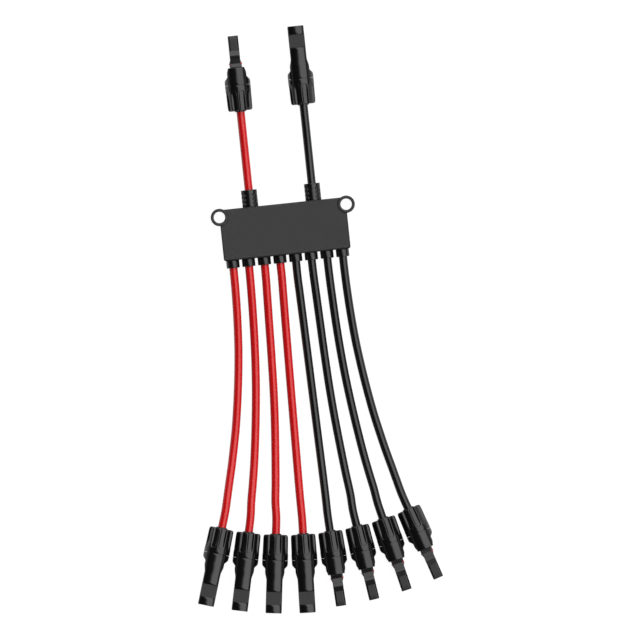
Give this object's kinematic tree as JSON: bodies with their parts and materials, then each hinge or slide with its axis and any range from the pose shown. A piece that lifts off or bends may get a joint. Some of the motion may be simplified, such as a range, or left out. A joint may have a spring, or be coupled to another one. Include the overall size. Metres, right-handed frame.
{
  "type": "solar panel junction lead",
  "caption": "Flat black junction box that joins red and black branch leads to a red and a black trunk lead, each ending in a latching solar cable coupler with a fluted gland nut.",
  "frame": {"origin": "centre of the box's flat back face", "axes": "+Z out of the cover, +Y towards the trunk leads, +X to the black leads' side when seen from the cover with the trunk leads up"},
  "size_m": [0.1763, 0.418, 0.0184],
  "materials": {
    "case_plastic": "satin moulded black",
    "coupler_plastic": "smooth glossy black",
    "nut_plastic": "smooth glossy black",
    "bush_rubber": "smooth soft black",
    "seal_rubber": "matt black",
    "ring_rubber": "satin red silicone",
    "red_jacket": "smooth red cable jacket",
    "black_jacket": "smooth black cable jacket",
    "copper": "bare copper",
    "tinned_copper": "tin plate"
  },
  "bodies": {
    "harness": {"case_base": "case_plastic", "case_cover": "case_plastic", "busbars": "copper", "bared_cores": "copper", "branch_grommets": "bush_rubber", "trunk_boots": "bush_rubber", "pin_contacts": "tinned_copper", "socket_contacts": "tinned_copper", "cable_seals": "seal_rubber", "nose_rings": "ring_rubber", "red_branch_cable_1": "red_jacket", "red_branch_cable_2": "red_jacket", "red_branch_cable_3": "red_jacket", "red_branch_cable_4": "red_jacket", "black_branch_cable_1": "black_jacket", "black_branch_cable_2": "black_jacket", "black_branch_cable_3": "black_jacket", "black_branch_cable_4": "black_jacket", "red_trunk_cable": "red_jacket", "black_trunk_cable": "black_jacket", "pin_housing_1": "coupler_plastic", "pin_housing_2": "coupler_plastic", "pin_housing_3": "coupler_plastic", "pin_housing_4": "coupler_plastic", "pin_housing_5": "coupler_plastic", "socket_housing_1": "coupler_plastic", "socket_housing_2": "coupler_plastic", "socket_housing_3": "coupler_plastic", "socket_housing_4": "coupler_plastic", "socket_housing_5": "coupler_plastic"},
    "pin_collet_body_1": {"pin_collet_1": "nut_plastic"},
    "pin_nut_body_1": {"pin_gland_nut_1": "nut_plastic"},
    "pin_collet_body_2": {"pin_collet_2": "nut_plastic"},
    "pin_nut_body_2": {"pin_gland_nut_2": "nut_plastic"},
    "pin_collet_body_3": {"pin_collet_3": "nut_plastic"},
    "pin_nut_body_3": {"pin_gland_nut_3": "nut_plastic"},
    "pin_collet_body_4": {"pin_collet_4": "nut_plastic"},
    "pin_nut_body_4": {"pin_gland_nut_4": "nut_plastic"},
    "pin_collet_body_5": {"pin_collet_5": "nut_plastic"},
    "pin_nut_body_5": {"pin_gland_nut_5": "nut_plastic"},
    "socket_collet_body_1": {"socket_collet_1": "nut_plastic"},
    "socket_nut_body_1": {"socket_gland_nut_1": "nut_plastic"},
    "socket_collet_body_2": {"socket_collet_2": "nut_plastic"},
    "socket_nut_body_2": {"socket_gland_nut_2": "nut_plastic"},
    "socket_collet_body_3": {"socket_collet_3": "nut_plastic"},
    "socket_nut_body_3": {"socket_gland_nut_3": "nut_plastic"},
    "socket_collet_body_4": {"socket_collet_4": "nut_plastic"},
    "socket_nut_body_4": {"socket_gland_nut_4": "nut_plastic"},
    "socket_collet_body_5": {"socket_collet_5": "nut_plastic"},
    "socket_nut_body_5": {"socket_gland_nut_5": "nut_plastic"},
    "upper_latch_body_1": {"upper_latch_1": "coupler_plastic"},
    "lower_latch_body_1": {"lower_latch_1": "coupler_plastic"},
    "upper_latch_body_2": {"upper_latch_2": "coupler_plastic"},
    "lower_latch_body_2": {"lower_latch_2": "coupler_plastic"},
    "upper_latch_body_3": {"upper_latch_3": "coupler_plastic"},
    "lower_latch_body_3": {"lower_latch_3": "coupler_plastic"},
    "upper_latch_body_4": {"upper_latch_4": "coupler_plastic"},
    "lower_latch_body_4": {"lower_latch_4": "coupler_plastic"},
    "upper_latch_body_5": {"upper_latch_5": "coupler_plastic"},
    "lower_latch_body_5": {"lower_latch_5": "coupler_plastic"}
  },
  "joints": [
    {"name": "pin_collet_slide_1", "type": "slide", "parent": "harness", "child": "pin_collet_body_1", "axis": [0.3042, 0.9526, 0], "range_m": [0, 0.008]},
    {"name": "pin_nut_turn_1", "type": "hinge", "parent": "pin_collet_body_1", "child": "pin_nut_body_1", "pos_m": [-0.06692, -0.20777, 0.0092], "axis": [0.3042, 0.9526, 0], "range_deg": [0, 1441]},
    {"name": "pin_collet_slide_2", "type": "slide", "parent": "harness", "child": "pin_collet_body_2", "axis": [0.219, 0.9757, 0], "range_m": [0, 0.008]},
    {"name": "pin_nut_turn_2", "type": "hinge", "parent": "pin_collet_body_2", "child": "pin_nut_body_2", "pos_m": [-0.04818, -0.21286, 0.0092], "axis": [0.219, 0.9757, 0], "range_deg": [0, 1441]},
    {"name": "pin_collet_slide_3", "type": "slide", "parent": "harness", "child": "pin_collet_body_3", "axis": [0.1321, 0.9912, 0], "range_m": [0, 0.008]},
    {"name": "pin_nut_turn_3", "type": "hinge", "parent": "pin_collet_body_3", "child": "pin_nut_body_3", "pos_m": [-0.02906, -0.21627, 0.0092], "axis": [0.1321, 0.9912, 0], "range_deg": [0, 1441]},
    {"name": "pin_collet_slide_4", "type": "slide", "parent": "harness", "child": "pin_collet_body_4", "axis": [0.0441, 0.999, 0], "range_m": [0, 0.008]},
    {"name": "pin_nut_turn_4", "type": "hinge", "parent": "pin_collet_body_4", "child": "pin_nut_body_4", "pos_m": [-0.00971, -0.21799, 0.0092], "axis": [0.0441, 0.999, 0], "range_deg": [0, 1441]},
    {"name": "pin_collet_slide_5", "type": "slide", "parent": "harness", "child": "pin_collet_body_5", "axis": [0, -1, 0], "range_m": [0, 0.008]},
    {"name": "pin_nut_turn_5", "type": "hinge", "parent": "pin_collet_body_5", "child": "pin_nut_body_5", "pos_m": [0.0226, 0.0874, 0.0092], "axis": [0, -1, 0], "range_deg": [0, 1441]},
    {"name": "socket_collet_slide_1", "type": "slide", "parent": "harness", "child": "socket_collet_body_1", "axis": [-0.0441, 0.999, 0], "range_m": [0, 0.008]},
    {"name": "socket_nut_turn_1", "type": "hinge", "parent": "socket_collet_body_1", "child": "socket_nut_body_1", "pos_m": [0.00971, -0.21799, 0.0092], "axis": [-0.0441, 0.999, 0], "range_deg": [0, 1441]},
    {"name": "socket_collet_slide_2", "type": "slide", "parent": "harness", "child": "socket_collet_body_2", "axis": [-0.1321, 0.9912, 0], "range_m": [0, 0.008]},
    {"name": "socket_nut_turn_2", "type": "hinge", "parent": "socket_collet_body_2", "child": "socket_nut_body_2", "pos_m": [0.02906, -0.21627, 0.0092], "axis": [-0.1321, 0.9912, 0], "range_deg": [0, 1441]},
    {"name": "socket_collet_slide_3", "type": "slide", "parent": "harness", "child": "socket_collet_body_3", "axis": [-0.219, 0.9757, 0], "range_m": [0, 0.008]},
    {"name": "socket_nut_turn_3", "type": "hinge", "parent": "socket_collet_body_3", "child": "socket_nut_body_3", "pos_m": [0.04818, -0.21286, 0.0092], "axis": [-0.219, 0.9757, 0], "range_deg": [0, 1441]},
    {"name": "socket_collet_slide_4", "type": "slide", "parent": "harness", "child": "socket_collet_body_4", "axis": [-0.3042, 0.9526, 0], "range_m": [0, 0.008]},
    {"name": "socket_nut_turn_4", "type": "hinge", "parent": "socket_collet_body_4", "child": "socket_nut_body_4", "pos_m": [0.06692, -0.20777, 0.0092], "axis": [-0.3042, 0.9526, 0], "range_deg": [0, 1441]},
    {"name": "socket_collet_slide_5", "type": "slide", "parent": "harness", "child": "socket_collet_body_5", "axis": [0, -1, 0], "range_m": [0, 0.008]},
    {"name": "socket_nut_turn_5", "type": "hinge", "parent": "socket_collet_body_5", "child": "socket_nut_body_5", "pos_m": [-0.0226, 0.0874, 0.0092], "axis": [0, -1, 0], "range_deg": [0, 1441]},
    {"name": "upper_latch_1", "type": "hinge", "parent": "harness", "child": "upper_latch_body_1", "pos_m": [0.01103, -0.24786, 0.01485], "axis": [0.999, 0.0441, 0], "range_deg": [0, 3.5], "stiffness_Nm_per_rad": 2},
    {"name": "lower_latch_1", "type": "hinge", "parent": "harness", "child": "lower_latch_body_1", "pos_m": [0.01103, -0.24786, 0.00355], "axis": [-0.999, -0.0441, 0], "range_deg": [0, 3.5], "stiffness_Nm_per_rad": 2},
    {"name": "upper_latch_2", "type": "hinge", "parent": "harness", "child": "upper_latch_body_2", "pos_m": [0.03301, -0.24591, 0.01485], "axis": [0.9912, 0.1321, 0], "range_deg": [0, 3.5], "stiffness_Nm_per_rad": 2},
    {"name": "lower_latch_2", "type": "hinge", "parent": "harness", "child": "lower_latch_body_2", "pos_m": [0.03301, -0.24591, 0.00355], "axis": [-0.9912, -0.1321, 0], "range_deg": [0, 3.5], "stiffness_Nm_per_rad": 2},
    {"name": "upper_latch_3", "type": "hinge", "parent": "harness", "child": "upper_latch_body_3", "pos_m": [0.05473, -0.24203, 0.01485], "axis": [0.9757, 0.219, 0], "range_deg": [0, 3.5], "stiffness_Nm_per_rad": 2},
    {"name": "lower_latch_3", "type": "hinge", "parent": "harness", "child": "lower_latch_body_3", "pos_m": [0.05473, -0.24203, 0.00355], "axis": [-0.9757, -0.219, 0], "range_deg": [0, 3.5], "stiffness_Nm_per_rad": 2},
    {"name": "upper_latch_4", "type": "hinge", "parent": "harness", "child": "upper_latch_body_4", "pos_m": [0.07602, -0.23626, 0.01485], "axis": [0.9526, 0.3042, 0], "range_deg": [0, 3.5], "stiffness_Nm_per_rad": 2},
    {"name": "lower_latch_4", "type": "hinge", "parent": "harness", "child": "lower_latch_body_4", "pos_m": [0.07602, -0.23626, 0.00355], "axis": [-0.9526, -0.3042, 0], "range_deg": [0, 3.5], "stiffness_Nm_per_rad": 2},
    {"name": "upper_latch_5", "type": "hinge", "parent": "harness", "child": "upper_latch_body_5", "pos_m": [-0.0226, 0.1173, 0.01485], "axis": [-1, 0, 0], "range_deg": [0, 3.5], "stiffness_Nm_per_rad": 2},
    {"name": "lower_latch_5", "type": "hinge", "parent": "harness", "child": "lower_latch_body_5", "pos_m": [-0.0226, 0.1173, 0.00355], "axis": [1, 0, 0], "range_deg": [0, 3.5], "stiffness_Nm_per_rad": 2}
  ],
  "couplings": [
    {"joint": "pin_nut_turn_1", "follows": "pin_collet_slide_1", "rad_per_m": 3141.6},
    {"joint": "pin_nut_turn_2", "follows": "pin_collet_slide_2", "rad_per_m": 3141.6},
    {"joint": "pin_nut_turn_3", "follows": "pin_collet_slide_3", "rad_per_m": 3141.6},
    {"joint": "pin_nut_turn_4", "follows": "pin_collet_slide_4", "rad_per_m": 3141.6},
    {"joint": "pin_nut_turn_5", "follows": "pin_collet_slide_5", "rad_per_m": 3141.6},
    {"joint": "socket_nut_turn_1", "follows": "socket_collet_slide_1", "rad_per_m": 3141.6},
    {"joint": "socket_nut_turn_2", "follows": "socket_collet_slide_2", "rad_per_m": 3141.6},
    {"joint": "socket_nut_turn_3", "follows": "socket_collet_slide_3", "rad_per_m": 3141.6},
    {"joint": "socket_nut_turn_4", "follows": "socket_collet_slide_4", "rad_per_m": 3141.6},
    {"joint": "socket_nut_turn_5", "follows": "socket_collet_slide_5", "rad_per_m": 3141.6}
  ]
}
